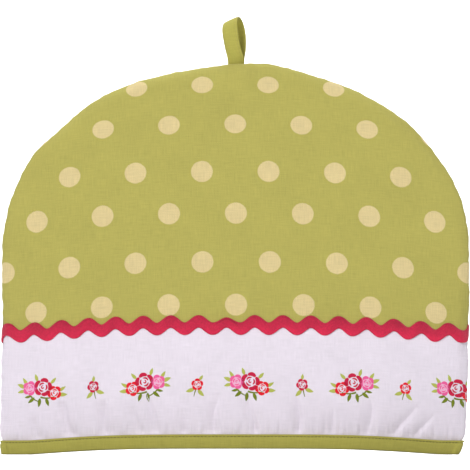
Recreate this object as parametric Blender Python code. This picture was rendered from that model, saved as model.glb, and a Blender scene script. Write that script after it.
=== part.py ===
"""A padded tea cosy that stands on its hem: two spotted crown panels, two plain-ground border
panels, a wavy braid over each join, one bound hem all the way round and a hanging loop.

Metres, +Z up, the front faces -Y, and the origin is on the floor under the middle of the hem.
"""

import math

import bmesh
import bpy
from mathutils import Vector

MM = 0.001

# Driving sizes of the whole cosy
HALF_WIDTH = 170.0 * MM
CROWN_TOP = 283.4 * MM
SPRING_HEIGHT = 140.0 * MM  # the sides are straight up to here, and the dome starts
JOIN_HEIGHT = 87.1 * MM  # where the crown panel meets the border panel
CAVITY_DEPTH = 34.0 * MM  # half of the hollow's depth, at the middle of the hem
GAP = 0.3 * MM  # between neighbouring pieces

# Dome outline, as a superellipse
DOME_WIDTH_POWER = 2.0
DOME_HEIGHT_POWER = 2.1

# Padded wall
WALL = 8.5 * MM
WALL_IN_BINDING = 3.6 * MM
SWELL_HEIGHT = 20.0 * MM  # the wall reaches its full thickness this far above the binding
JOIN_DIP = 1.1 * MM
JOIN_DIP_REACH = 7.0 * MM
UNEVENNESS = 0.5 * MM

# Rolled edge beside the seam
ROLL_WIDTH = 9.0 * MM
ROLL_LENGTH = 13.0 * MM  # round the roll, from the flat to the seam
ROLL_CENTRE_SHARE = 0.38  # of the wall's thickness
SEAM_FABRIC = 0.6 * MM
SEAM_ALLOWANCE = 4.0 * MM

# Hem
BINDING_HEIGHT = 10.0 * MM
BINDING_CLOTH = 1.6 * MM
BINDING_FOLD = 0.8 * MM
HEM_ARCH = 4.1 * MM
HEM_ARCH_HALF_WIDTH = 150.0 * MM
ARCH_LEFT_AT_TOP = 0.25
ARCH_EASE = 0.1 * MM  # the border stands this much more off the binding's foot

# How each side, left -1 and right 1, draws in down to the hem
SIDE_LEAN_HEIGHT = 120.0 * MM
SIDE_LEAN = {-1: 0.6 * MM, 1: 6.0 * MM}
BINDING_PINCH = 1.5 * MM
BINDING_PINCH_TOP = 14.0 * MM
BINDING_PINCH_FADE = 4.0 * MM
HEM_SLANT = {-1: 1.0 * MM, 1: 3.2 * MM}
HEM_SLANT_TOP = 10.5 * MM

# Wavy braid
BRAID_WIDTH = 9.0 * MM
BRAID_SWING = 2.5 * MM
BRAID_WAVE = {-1: 19.65 * MM, 1: 19.95 * MM}  # left and right of the middle crest
BRAID_CREST_AT = -6.3 * MM
BRAID_LEAN_SHARE = 0.65  # how far its ends' line follows the wave's slope
BRAID_CLOTH = 1.3 * MM
BRAID_EASE = 0.85 * MM  # how far it stands off where it turns round the edge

# Hanging loop
LOOP_HEIGHT = 35.0 * MM
LOOP_STRAP_WIDTH = 12.0 * MM
LOOP_STRAP_CLOTH = 1.7 * MM
LOOP_HALF_OPENING = 7.4 * MM
LOOP_ROOT = 8.0 * MM  # what is caught in the seam
LOOP_YAW = math.radians(26)
LOOP_CREASE_TILT = math.radians(20)
LOOP_LEAN = -1.6 * MM
LOOP_STANCE = 0.4 * MM
LOOP_POINTEDNESS = 1.5
LOOP_SWELL_PEAK = 0.70  # the highest value of the curve of that pointedness
LOOP_SLOT_HALF_WIDTH = 7.2 * MM
LOOP_SLOT_FADE = 9.5 * MM

# Lumps of the curved seam, on both panels: degrees round the dome from the right
SEAM_LUMPS = [
    {"angle": 20, "height": 1.7 * MM, "reach": 12},
    {"angle": 42, "height": 1.4 * MM, "reach": 8.5},
    {"angle": 68, "height": -0.8 * MM, "reach": 6},
    {"angle": 82, "height": 1.5 * MM, "reach": 5},
    {"angle": 101, "height": -1.7 * MM, "reach": 9},
    {"angle": 110, "height": -0.7 * MM, "reach": 4},
    {"angle": 126, "height": 0.8 * MM, "reach": 5},
    {"angle": 139.5, "height": -0.9 * MM, "reach": 4},
    {"angle": 150, "height": 2.1 * MM, "reach": 8},
    {"angle": 163, "height": 0.8 * MM, "reach": 5},
]

# Soft troughs that rise from the binding into the border, seen from outside
HEM_PUCKERS = [
    {"foot": -140, "top": -144, "rise": 18, "depth": 1.0, "width": 5.0},
    {"foot": -115, "top": -126, "rise": 27, "depth": 1.8, "width": 5.5},
    {"foot": -90, "top": -95, "rise": 26, "depth": 1.6, "width": 5.5},
    {"foot": -66, "top": -71, "rise": 20, "depth": 1.1, "width": 5.0},
    {"foot": -56, "top": -61, "rise": 31, "depth": 1.3, "width": 4.5},
    {"foot": -36, "top": -35, "rise": 18, "depth": 1.0, "width": 5.0},
    {"foot": -15, "top": -14, "rise": 30, "depth": 1.6, "width": 5.5},
    {"foot": 15, "top": 10, "rise": 30, "depth": 1.7, "width": 5.5},
    {"foot": 45, "top": 46, "rise": 29, "depth": 1.7, "width": 5.0},
    {"foot": 69, "top": 67, "rise": 20, "depth": 1.3, "width": 5.0},
    {"foot": 94, "top": 97, "rise": 28, "depth": 1.6, "width": 5.5},
    {"foot": 112, "top": 129, "rise": 25, "depth": 1.7, "width": 5.5},
    {"foot": 126, "top": 142, "rise": 19, "depth": 1.3, "width": 5.0},
]

# Grid steps of each kind of piece
FAN_HALF_WIDTH = 105.4 * MM  # half of the crown's lower edge that its rays of steps start from
ROLL_STEPS = 5
BORDER_STEPS = 56
BORDER_ROWS = 10
CROWN_ROWS = 8
BRAID_STEPS_PER_WAVE = 6
BRAID_STEPS_EACH_WAY = 60
SHORTEST_STEP = 0.4  # of a full step, at the ends of a row of steps
BINDING_STEPS = 50
LOOP_STEPS = 36
LOOP_STEPS_ACROSS = 2

FRONT, BACK = -1, 1

GREEN = (0.46, 0.42, 0.105)
LILAC_WHITE = (0.85, 0.79, 0.87)
CRIMSON = (0.56, 0.03, 0.075)


def clamp(value, low=0.0, high=1.0):
    return max(low, min(high, value))


def smooth(value):
    value = clamp(value)
    return value * value * (3 - 2 * value)


# Outline and hollow


def side_x(sign, z):
    """Where the seam runs at height z on the straight part of a side."""
    lean = SIDE_LEAN[sign] * clamp(1 - z / SIDE_LEAN_HEIGHT) ** 2
    pinch = BINDING_PINCH * smooth((BINDING_PINCH_TOP - z) / BINDING_PINCH_FADE)
    slant = HEM_SLANT[sign] * clamp(1 - z / HEM_SLANT_TOP)
    return sign * (HALF_WIDTH - lean - pinch - slant)


def dome_point(degrees):
    """A point (x, z) of the seam over the dome, counted from the right spring point."""
    angle = math.radians(degrees)
    across, up = math.cos(angle), math.sin(angle)
    x = HALF_WIDTH * math.copysign(abs(across) ** (2 / DOME_WIDTH_POWER), across)
    rise = (CROWN_TOP - SPRING_HEIGHT) * max(up, 0.0) ** (2 / DOME_HEIGHT_POWER)
    lump = sum(
        row["height"] * math.exp(-(((degrees - row["angle"]) / row["reach"]) ** 2))
        for row in SEAM_LUMPS
    )
    lump *= smooth(degrees / 10) * smooth((180 - degrees) / 10)
    return x + lump * across, SPRING_HEIGHT + rise + lump * up


def half_width(sign, z):
    """Half of the plain outline's width at height z, without the seam's lumps."""
    if z <= SPRING_HEIGHT:
        return abs(side_x(sign, z))
    share = clamp((z - SPRING_HEIGHT) / (CROWN_TOP - SPRING_HEIGHT))
    return HALF_WIDTH * (1 - share**DOME_HEIGHT_POWER) ** (1 / DOME_WIDTH_POWER)


def cavity(x, z):
    """Half of the hollow's depth at a point of the outline's plane."""
    sign = -1 if x < 0 else 1
    reach = max(half_width(sign, z) - SEAM_ALLOWANCE, 1 * MM)
    across = clamp(1 - (x / reach) ** 2)
    upward = clamp(1 - (z / (CROWN_TOP - SEAM_ALLOWANCE)) ** 2)
    return CAVITY_DEPTH * across * upward


def loop_slot(x, z):
    """How far each panel stands off at the crown, where the strap's ends are caught between them."""
    depth = LOOP_STRAP_CLOTH + GAP
    across = smooth((LOOP_SLOT_HALF_WIDTH + LOOP_SLOT_FADE - abs(x)) / LOOP_SLOT_FADE)
    return depth * across * smooth((z - (CROWN_TOP - 3 * LOOP_ROOT)) / (1.6 * LOOP_ROOT))


def arch(x, z):
    """How far the cloth is lifted towards the middle, where the panels lean out most."""
    across = clamp(1 - (abs(x) / HEM_ARCH_HALF_WIDTH) ** 4) ** 1.5
    upward = smooth((z - JOIN_HEIGHT) / (CROWN_TOP - JOIN_HEIGHT))
    return HEM_ARCH * across * (1 - (1 - ARCH_LEFT_AT_TOP) * upward)


def placed(x, depth, z, side):
    """The world point of a place in the outline's plane, at a depth towards the front or the back."""
    return Vector((x, side * depth, z + arch(x, z)))


# Padded wall


def pucker(x, z, side):
    """Depth of the hem's troughs; the back has the same ones mirrored, a little shallower."""
    across = x / MM if side == FRONT else -x / MM
    height = (z - BINDING_HEIGHT) / MM
    total = 0.0
    for row in HEM_PUCKERS:
        share = clamp(height / row["rise"], -1.0, 1.0)
        line = row["foot"] + (row["top"] - row["foot"]) * max(share, 0.0)
        fade = (1 - smooth(share)) * smooth(height / 3)
        total += row["depth"] * fade * math.exp(-(((across - line) / row["width"]) ** 2))
    return total * MM * (1.0 if side == FRONT else 0.8)


def unevenness(x, z, side):
    """Slow waves of the wadding under the cloth; the back has the front's, turned round."""
    a, b = -side * x / (58 * MM), z / (47 * MM)
    waves = math.sin(a - 1.3) * math.cos(b - 0.7) + 0.6 * math.sin(1.9 * a - 1.4 * b - 1)
    return UNEVENNESS * waves


def wall(x, z, side):
    """Thickness of the padded wall, measured along Y."""
    swell = math.sin(math.pi / 2 * clamp((z - BINDING_HEIGHT - 0.5 * MM) / SWELL_HEIGHT))
    full = WALL + unevenness(x, z, side)
    thickness = WALL_IN_BINDING + (full - WALL_IN_BINDING) * swell
    thickness -= JOIN_DIP * math.exp(-(((z - JOIN_HEIGHT) / JOIN_DIP_REACH) ** 2))
    return thickness - pucker(x, z, side)


def roll(turn, thickness):
    """(inset from the outline, height over the lining) of the rolled edge.

    turn is 0 where the flat of the panel begins, and 1 in the groove of the seam.
    """
    centre = ROLL_CENTRE_SHARE * thickness
    lift = thickness - centre
    start = math.asin(clamp((SEAM_FABRIC - centre) / lift, -1.0, 1.0))
    angle = math.pi / 2 + (start - math.pi / 2) * turn
    width = ROLL_WIDTH * thickness / WALL
    return width * (1 - math.cos(angle)), centre + lift * math.sin(angle)


def station(t, steps):
    """(place across the flat from -1 to 1, turn round the roll) of a place t from -1 to 1."""
    edge = steps / (steps + 2 * ROLL_STEPS)
    if abs(t) <= edge + 1e-9:
        return t / edge, 0.0
    return math.copysign(1.0, t), (abs(t) - edge) / (1 - edge)


def section(across, turn, z, side):
    """(x, depth) of the border's outer face at height z."""
    sign = -1 if across < 0 else 1
    edge = side_x(sign, z)
    flat = abs(edge) - roll(0.0, wall(edge, z, side))[0]
    if turn == 0.0:
        x = across * flat
        return x, GAP / 2 + cavity(x, z) + wall(x, z, side)
    inset, height = roll(turn, wall(sign * flat, z, side))
    x = edge - sign * inset
    return x, GAP / 2 + cavity(x, z) + height


def skin(across, turn, z, side, out=0.0):
    """A point of the border's outer face, moved outwards by out."""
    x, depth = section(across, turn, z, side)
    sign = -1 if across < 0 else 1
    if turn > 0.75:
        return placed(x + sign * out, depth, z, side)
    step = 0.01
    if turn == 0.0:
        ax, ad = section(clamp(across - step, -1, 1), 0.0, z, side)
        bx, bd = section(clamp(across + step, -1, 1), 0.0, z, side)
    else:
        ends = [section(sign, turn - step, z, side), section(sign, turn + step, z, side)]
        (ax, ad), (bx, bd) = ends if sign > 0 else ends[::-1]
    run, fall = bx - ax, bd - ad
    length = math.hypot(run, fall)
    return placed(x - out * fall / length, depth + out * run / length, z, side)


def lining(across, turn, z, side):
    """A point of the border's inner face."""
    sign = -1 if across < 0 else 1
    edge = side_x(sign, z)
    thickness = wall(edge, z, side)
    inset = roll(0.0, thickness)[0] * (1 - turn) + roll(1.0, thickness)[0] * turn
    x = across * (abs(edge) - inset)
    return placed(x, GAP / 2 + cavity(x, z), z, side)


# Meshes from primitive grids


def finish_mesh(name, bm, colour, roughness):
    bmesh.ops.triangulate(bm, faces=bm.faces[:], quad_method="SHORT_EDGE")
    bmesh.ops.recalc_face_normals(bm, faces=bm.faces[:])
    mesh = bpy.data.meshes.new(name)
    bm.to_mesh(mesh)
    bm.free()
    mesh.shade_smooth()
    mesh.set_sharp_from_angle(angle=math.radians(50))
    mesh.materials.append(material(name, colour, roughness))
    piece = bpy.data.objects.new(name, mesh)
    cosy_collection().objects.link(piece)
    return piece


def slab(columns, rows, place):
    """A grid extruded into two layers, each vertex moved to place(u, v, layer), with u and v from 0 to 1."""
    bm = bmesh.new()
    bmesh.ops.create_grid(bm, x_segments=columns, y_segments=rows, size=0.5)
    raised = bmesh.ops.extrude_face_region(bm, geom=bm.faces[:])["geom"]
    outer = [element for element in raised if isinstance(element, bmesh.types.BMVert)]
    bmesh.ops.translate(bm, verts=outer, vec=(0, 0, 1))
    for vertex in bm.verts:
        u, v = vertex.co.x + 0.5, vertex.co.y + 0.5
        vertex.co = place(u, v, round(vertex.co.z))
    return bm


def ring(columns, rows, place):
    """A grid closed both ways, as a hoop with a closed section: place(column, row) gives each point."""
    bm = bmesh.new()
    bmesh.ops.create_grid(bm, x_segments=columns, y_segments=rows, size=0.5)
    for vertex in bm.verts:
        column = round((vertex.co.x + 0.5) * columns) % columns
        row = round((vertex.co.y + 0.5) * rows) % rows
        vertex.co = place(column, row)
    bmesh.ops.remove_doubles(bm, verts=bm.verts[:], dist=0.001 * MM)
    return bm


# Pieces


def border_panel(name, side):
    """The straight band between the binding and the join."""
    between = [10.5, 13, 17, 22, 29, 39, 53, 68, 79]
    heights = [BINDING_CLOTH + GAP + ARCH_EASE, *[height * MM for height in between], JOIN_HEIGHT - GAP / 2]
    columns = BORDER_STEPS + 2 * ROLL_STEPS

    def place(u, v, layer):
        across, turn = station(2 * u - 1, BORDER_STEPS)
        z = heights[round(v * BORDER_ROWS)]
        return skin(across, turn, z, side) if layer else lining(across, turn, z, side)

    finish_mesh(name, slab(columns, BORDER_ROWS, place), LILAC_WHITE, 0.85)


def seam_point(place):
    """(x, z) of the crown's seam: place is -1 to 0 up the right side, 0 to 180 in degrees over the
    dome, and 180 to 181 down the left side."""
    low = JOIN_HEIGHT + GAP / 2
    if place < 0:
        return side_x(1, SPRING_HEIGHT), SPRING_HEIGHT + (SPRING_HEIGHT - low) * place
    if place > 180:
        return side_x(-1, SPRING_HEIGHT), SPRING_HEIGHT - (SPRING_HEIGHT - low) * (place - 180)
    return dome_point(place)


def seam_normal(place):
    """The outward direction (x, z) across the seam."""
    step = 1.0 if 0 <= place <= 180 else 0.01
    ax, az = seam_point(max(place - step, -1.0))
    bx, bz = seam_point(min(place + step, 181.0))
    length = math.hypot(bx - ax, bz - az)
    return (bz - az) / length, (ax - bx) / length


def seam_places():
    """Where the crown's rays meet the seam, closer together beside the loop."""
    rising = [5, 10, 15, 20, 24, 28, 32, 36, 40, 44, 48, 52, 56, 60, 64, 68, 72, 76, 80, 82.5, 84.5, 87.4]
    half = [-1.0, -0.86, -0.6, -0.3, 0.0, *rising]
    return [*half, 90, *[180 - place for place in reversed(half)]]


def crown_panel(name, side):
    """The dome above the join, as a fan of rays from the middle of its lower edge out to the seam."""
    focus = FAN_HALF_WIDTH
    low = JOIN_HEIGHT + GAP / 2
    places = seam_places()
    columns = len(places) - 1
    shares = [0.0, 0.06, 0.18, 0.35, 0.52, 0.69, 0.84, 0.94, 1.0]
    rows = CROWN_ROWS + ROLL_STEPS

    def place(u, v, layer):
        at = places[round(u * columns)]
        x, z = seam_point(at)
        normal_x, normal_z = seam_normal(at)
        start_x = focus * (1 - 2 * u)
        run, climb = x - start_x, z - low
        length = math.hypot(run, climb)
        slant = (run * normal_x + climb * normal_z) / length
        row = round(v * rows)
        turn = max(row - CROWN_ROWS, 0) / ROLL_STEPS
        thickness = wall(x, z, side)
        width = roll(0.0, thickness)[0]
        if turn == 0.0:
            inset, height = width, None
        elif layer:
            inset, height = roll(turn, thickness)
        else:
            inset, height = width * (1 - turn) + roll(1.0, thickness)[0] * turn, None
        reach = (length - inset / slant) * shares[min(row, CROWN_ROWS)] / length
        px, pz = start_x + run * reach, low + climb * reach
        if height is None:
            height = wall(px, pz, side)
        depth = GAP / 2 + cavity(px, pz) + loop_slot(px, pz)
        return placed(px, depth + (height if layer else 0.0), pz, side)

    finish_mesh(name, slab(columns, rows, place), GREEN, 0.85)


def braid_places(flat):
    """Where the braid's wave is cut into steps: on its crests and evenly between them."""
    inner = []
    for k in range(-BRAID_STEPS_EACH_WAY, BRAID_STEPS_EACH_WAY + 1):
        step = BRAID_WAVE[-1 if k < 0 else 1] / BRAID_STEPS_PER_WAVE
        along = BRAID_CREST_AT + step * k
        if abs(along) < flat - SHORTEST_STEP * step:
            inner.append(along)
    return [-flat, *inner, flat]


def braid(name, side):
    """The wavy braid over the join, laid on the cloth and turned into the side seams."""
    flat = HALF_WIDTH - ROLL_WIDTH
    rounded = [flat + ROLL_LENGTH * (k + 1) / ROLL_STEPS for k in range(ROLL_STEPS)]
    places = [*[-along for along in reversed(rounded)], *braid_places(flat), *rounded]
    columns = len(places) - 1

    def place(u, v, layer):
        along = places[round(u * columns)]
        wave = BRAID_WAVE[-1 if along < BRAID_CREST_AT else 1]
        phase = 2 * math.pi * (along - BRAID_CREST_AT) / wave
        slope = -BRAID_SWING * math.sin(phase) * 2 * math.pi / wave
        lean = BRAID_LEAN_SHARE * math.atan(slope) * (1.0 if 0 < u < 1 else 0.0)
        offset = (v - 0.5) * BRAID_WIDTH
        along -= offset * math.sin(lean)
        z = JOIN_HEIGHT + BRAID_SWING * math.cos(phase) + offset * math.cos(lean)
        out = GAP + (BRAID_CLOTH if layer else 0.0)
        if abs(along) <= flat:
            return skin(along / flat, 0.0, z, side, out)
        turn = clamp((abs(along) - flat) / ROLL_LENGTH)
        return skin(math.copysign(1.0, along), turn, z, side, out + BRAID_EASE * smooth(4 * turn))

    finish_mesh(name, slab(columns, 2, place), CRIMSON, 0.8)


def binding(name):
    """The folded strip round the hem: an outer wall, a flat foot and an inner wall, in one hoop."""
    per_side = BINDING_STEPS + 1
    outer, channel = GAP + BINDING_CLOTH, GAP
    top, foot, ease = BINDING_HEIGHT, BINDING_CLOTH, BINDING_FOLD
    profile = [
        ("out", outer, ease),
        ("out", outer + 0.3 * MM, top / 2),
        ("out", outer, top - ease),
        ("out", (outer + channel) / 2, top),
        ("out", channel, top - ease),
        ("out", channel, foot),
        ("in", channel, foot),
        ("in", channel, top - ease),
        ("in", (outer + channel) / 2, top),
        ("in", outer, top - ease),
        ("in", outer, ease),
        ("in", outer - ease, 0.0),
        ("out", outer - ease, 0.0),
    ]
    flat_steps = BINDING_STEPS - 2 * ROLL_STEPS

    def inner(across, turn, z, side, into):
        """The hollow's side, into the hollow, ending where the two walls would meet."""
        sign = -1 if across < 0 else 1
        reach = half_width(sign, z) - SEAM_ALLOWANCE
        end = reach * math.sqrt(1 - (outer + 0.3 * MM) / CAVITY_DEPTH)
        end += outer - into
        place_across = abs(across) * 0.9 + 0.1 * turn
        x = sign * end * place_across
        return placed(x, max(cavity(x, z) + GAP / 2 - into, 0.2 * MM), z, side)

    def place(column, row):
        side = FRONT if column < per_side else BACK
        step = column if side == FRONT else 2 * per_side - 1 - column
        kind, distance, z = profile[row]
        across, turn = station(2 * step / BINDING_STEPS - 1, flat_steps)
        if kind == "out":
            return skin(across, turn, z, side, distance)
        return inner(across, turn, z, side, distance)

    finish_mesh(name, ring(2 * per_side, len(profile), place), GREEN, 0.8)


def loop_point(share):
    """(centre, tangent, direction of the strap's width) along the hanging loop, root to root."""
    half_gap = GAP / 2 + LOOP_STRAP_CLOTH / 2
    straight = 0.1
    base = Vector((LOOP_STANCE, 0, CROWN_TOP + 1.0 * MM))

    def centre(s):
        if s < straight:
            return base + Vector((0, -half_gap, -LOOP_ROOT * (1 - s / straight)))
        if s > 1 - straight:
            return base + Vector((0, half_gap, -LOOP_ROOT * (1 - (1 - s) / straight)))
        turn = 2 * math.pi * (s - straight) / (1 - 2 * straight)
        swell = math.sin(turn) * math.sin(turn / 2) ** LOOP_POINTEDNESS
        depth = -half_gap * math.cos(turn / 2) - LOOP_HALF_OPENING / LOOP_SWELL_PEAK * swell
        height = (LOOP_HEIGHT - 2 * MM) * (1 - math.cos(turn)) / 2
        yaw = LOOP_YAW * smooth(height / (0.35 * LOOP_HEIGHT))
        lean = LOOP_LEAN * height / LOOP_HEIGHT
        return base + Vector((lean + depth * math.sin(yaw), depth * math.cos(yaw), height))

    middle = centre(share)
    height = clamp((middle.z - base.z) / LOOP_HEIGHT)
    yaw = LOOP_YAW * smooth(height / 0.35)
    tilt = LOOP_CREASE_TILT * smooth((height - 0.45) / 0.5)
    width = Vector((
        math.cos(yaw) * math.cos(tilt),
        -math.sin(yaw) * math.cos(tilt),
        math.sin(tilt),
    ))
    ahead, behind = centre(min(share + 0.01, 1.0)), centre(max(share - 0.01, 0.0))
    return middle, (ahead - behind).normalized(), width


def hanging_loop(name):
    """A strap folded in two, its ends caught in the seam at the crown."""

    def place(u, v, layer):
        middle, tangent, width = loop_point(u)
        normal = width.cross(tangent).normalized()
        across = (v - 0.5) * LOOP_STRAP_WIDTH
        return middle + width * across + normal * (layer - 0.5) * LOOP_STRAP_CLOTH

    finish_mesh(name, slab(LOOP_STEPS, LOOP_STEPS_ACROSS, place), GREEN, 0.8)


# Scene


def material(name, colour, roughness):
    made = bpy.data.materials.new(name + "_cloth")
    made.use_nodes = True
    shader = made.node_tree.nodes["Principled BSDF"]
    shader.inputs["Base Color"].default_value = (*colour, 1.0)
    shader.inputs["Roughness"].default_value = roughness
    shader.inputs["Metallic"].default_value = 0.0
    made.diffuse_color = (*colour, 1.0)
    return made


def cosy_collection():
    found = bpy.data.collections.get("tea_cosy")
    if found is None:
        found = bpy.data.collections.new("tea_cosy")
        bpy.context.scene.collection.children.link(found)
    return found


def main():
    for old in list(bpy.data.objects):
        bpy.data.objects.remove(old, do_unlink=True)
    border_panel("border_front", FRONT)
    border_panel("border_back", BACK)
    crown_panel("crown_front", FRONT)
    crown_panel("crown_back", BACK)
    braid("braid_front", FRONT)
    braid("braid_back", BACK)
    binding("hem_binding")
    hanging_loop("hanging_loop")


main()
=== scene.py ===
import functools
import math

import bmesh
import bpy
import numpy as np
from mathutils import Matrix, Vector


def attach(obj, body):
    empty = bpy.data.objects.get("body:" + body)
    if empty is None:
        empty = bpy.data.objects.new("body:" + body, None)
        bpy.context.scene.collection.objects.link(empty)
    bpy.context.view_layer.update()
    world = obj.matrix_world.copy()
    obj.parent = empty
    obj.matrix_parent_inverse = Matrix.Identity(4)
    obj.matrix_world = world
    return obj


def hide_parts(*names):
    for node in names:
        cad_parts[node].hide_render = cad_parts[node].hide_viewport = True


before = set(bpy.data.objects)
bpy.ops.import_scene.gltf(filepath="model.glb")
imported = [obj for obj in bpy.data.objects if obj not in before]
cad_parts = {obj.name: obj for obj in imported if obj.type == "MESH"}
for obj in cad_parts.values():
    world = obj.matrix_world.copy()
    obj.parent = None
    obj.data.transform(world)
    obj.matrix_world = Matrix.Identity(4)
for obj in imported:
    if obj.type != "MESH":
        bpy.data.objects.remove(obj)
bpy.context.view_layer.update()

# Lengths are in millimetres up to the point where a mesh is made.
MM = 0.001

# Whole cosy, as in the solids
HALF_WIDTH = 170.0
CROWN_TOP = 283.4
SPRING_HEIGHT = 140.0  # the sides are straight up to here, and the dome starts
JOIN_HEIGHT = 87.1  # where the crown panel meets the border panel
CAVITY_DEPTH = 34.0  # half of the hollow's depth, at the middle of the hem
GAP = 0.3  # between pieces
CROWN_FOOT = JOIN_HEIGHT + GAP / 2
DOME_WIDTH_POWER = 2.0
DOME_HEIGHT_POWER = 2.1

# Padded wall, whose swell above the hem is slower and fuller than the solids'
WALL = 8.5
WALL_IN_BINDING = 3.6
SWELL_START = 0.5  # above the binding
SWELL_HEIGHT = 28.0
SWELL_FULLNESS = 0.72
JOIN_DIP = 1.1
JOIN_DIP_REACH = 7.0
UNEVENNESS = 0.5

# Rolled edge beside the seam
ROLL_WIDTH = 9.0
ROLL_LENGTH = 13.0  # round the roll, from the flat to the seam
ROLL_CENTRE_SHARE = 0.38  # of the wall's thickness
ROLL_EASE = 1.6  # how soon round the roll its seam starts to draw it in
SEAM_FABRIC = 0.6
SEAM_ALLOWANCE = 4.0
SEAM_ROWS_TURNED_IN = 6  # of the lining's grid, beyond the roll

# Hem
BINDING_HEIGHT = 10.0
BINDING_CLOTH = 1.6
BINDING_FOLD = 0.8
BINDING_TOP_EDGE = {"above": 0.05, "below": 0.35}  # where the cloth turns in, round the top
BINDING_MIDDLE = 5.0
BINDING_WAVE = 0.12
BINDING_FLAT_SHARE = 0.9  # of its inner side's length, before the turned ends
BINDING_LEAST_DEPTH = 0.2
BINDING_MEASURED_LEVEL = 3  # of its face, along which its cloth is measured
BINDING_INSIDE_AWAY = 4.0  # how far its inner side is from its face
HEM_ARCH = 4.1
HEM_ARCH_HALF_WIDTH = 150.0
ARCH_LEFT_AT_TOP = 0.25
BORDER_FOOT = BINDING_CLOTH + GAP + 0.1
# The strip's face: (share of its full distance off the cloth, height). 8.4 is its stitching.
BINDING_FACE = [
    (0.6, 0.12), (0.95, 0.45), (1.0, 1.0), (1.12, 2.2), (1.17, 3.6), (1.18, 5.0), (1.12, 6.4),
    (1.03, 7.5), (0.8, 8.1), (0.6, 8.4), (0.84, 8.7), (1.0, 9.2), (0.9, 9.75),
]

# How each side, left -1 and right 1, draws in down to the hem
SIDE_LEAN_HEIGHT = 120.0
SIDE_LEAN = {-1: 0.6, 1: 6.0}
BINDING_PINCH = 1.5
BINDING_PINCH_TOP = 14.0
BINDING_PINCH_FADE = 4.0
HEM_SLANT = {-1: 1.0, 1: 3.2}
HEM_SLANT_TOP = 10.5

# Wavy braid, which swings a little wider and leans less than the solids'
BRAID_WIDTH = 9.0
BRAID_SWING = 2.6
BRAID_WAVE = {-1: 19.65, 1: 19.95}  # left and right of the middle crest
BRAID_CREST_AT = -6.3
BRAID_LEAN_SHARE = 0.22  # how far its ends' line follows the wave's slope
BRAID_CLOTH = 1.25
BRAID_EDGE_CLOTH = 0.15
BRAID_CROWN_SHARE = 0.85  # of its cloth, at the middle of its width
BRAID_ENDS_SQUARE = 3.0  # how near its ends its lean fades
BRAID_EASE = 0.3  # how far it stands off where it turns round the edge
BRAID_PLAIT = {"height": 0.06, "pitch": 1.6, "slant": 1.6}
# The front's middle crest, whose upper edge is sewn down in a small fold. Its ridge, and the
# painted shade of a darker line under the fold, are (amount, share of the half width where it lies,
# reach).
CREST_FOLD = {"drop": 1.7, "reach": 7.0, "ridge": (0.45, 0.9, 0.15), "shade": (1.6, 0.62, 0.16)}

# Hanging loop, a little wider open, less turned and leaning more than the solid
LOOP_HEIGHT = 35.0
LOOP_BASE = CROWN_TOP + 1.0
LOOP_CENTRE_HEIGHT = 33.0  # of the strap's middle line
LOOP_STRAP_WIDTH = 12.0
LOOP_STRAP_CLOTH = 1.7
LOOP_STRAP_LENGTH = 92.0
LOOP_HALF_OPENING = 7.8
LOOP_SWELL_PEAK = 0.70  # the highest value of the curve of its pointedness
LOOP_ROOT = 8.0
LOOP_ROOT_SHARE = 0.1  # of the strap's length, at each end
LOOP_YAW = {"turn": math.radians(21), "over": 0.35}  # this and the tilt by share of its height
LOOP_CREASE_TILT = {"turn": math.radians(20), "from": 0.45, "over": 0.5}
LOOP_LEAN = -3.0
LOOP_LEAN_POWER = 1.7
LOOP_STANCE = 0.4
LOOP_POINTEDNESS = 1.5
LOOP_SLOT_HALF_WIDTH = 7.2
LOOP_SLOT_FADE = 9.5

# Stitches
HEM_STITCH = {"height": 8.4, "share": 0.68, "pitch": 2.6, "radius": 0.27, "ends_off": 8}
LOOP_STITCH = {"row": 0.76, "from": 0.11, "sunk": 0.1, "pitch": 2.4, "radius": 0.16}
LOOP_STITCH_DIP = {"depth": 0.18, "reach": 0.08}
STITCH_START, STITCH_END = 0.5, 1.24  # of the pitch

# The seam's ups and downs on the dome: (degrees round it from the right, height, reach)
SEAM_LUMPS = [
    (20, 1.7, 12), (42, 1.4, 8.5), (68, -0.8, 6), (82, 1.5, 5), (101, -1.7, 9),
    (110, -0.7, 4), (126, 0.8, 5), (139.5, -0.9, 4), (150, 2.1, 8), (163, 0.8, 5),
]

# Troughs above the hem: (place at the foot, place at the top, rise, depth, width, crease)
HEM_PUCKERS = [
    (-140, -144, 18, 1.0, 5.0, 3.2),
    (-115, -126, 27, 1.8, 5.5, 4.1),
    (-90, -95, 26, 1.6, 5.5, 3.7),
    (-66, -71, 20, 1.1, 5.0, 2.7),
    (-56, -61, 31, 1.3, 4.5, 2.9),
    (-36, -35, 18, 1.0, 5.0, 2.4),
    (-15, -14, 30, 1.6, 5.5, 2.3),
    (15, 10, 30, 1.7, 5.5, 2.2),
    (45, 46, 29, 1.7, 5.0, 2.1),
    (69, 67, 20, 1.3, 5.0, 1.7),
    (94, 97, 28, 1.6, 5.5, 1.8),
    (112, 129, 25, 1.7, 5.5, 1.7),
    (126, 142, 19, 1.3, 5.0, 1.7),
]
# Each trough in the render: the solid's soft one, and a sharper crease down its middle
TROUGH_SHARE = 0.8
CREASE_WIDTHS = (0.72, 0.22)  # left and right of its line, of the trough's width
CREASE_ROUNDING = 0.07
CREASE_BEND = 0.5
CREASE_BEND_HEIGHT = 7.0
DEEPEST_SHARE = 0.8  # of the wall's thickness
PUCKER_START = 3.0
BACK_PUCKER_SHARE = 0.8

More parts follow.
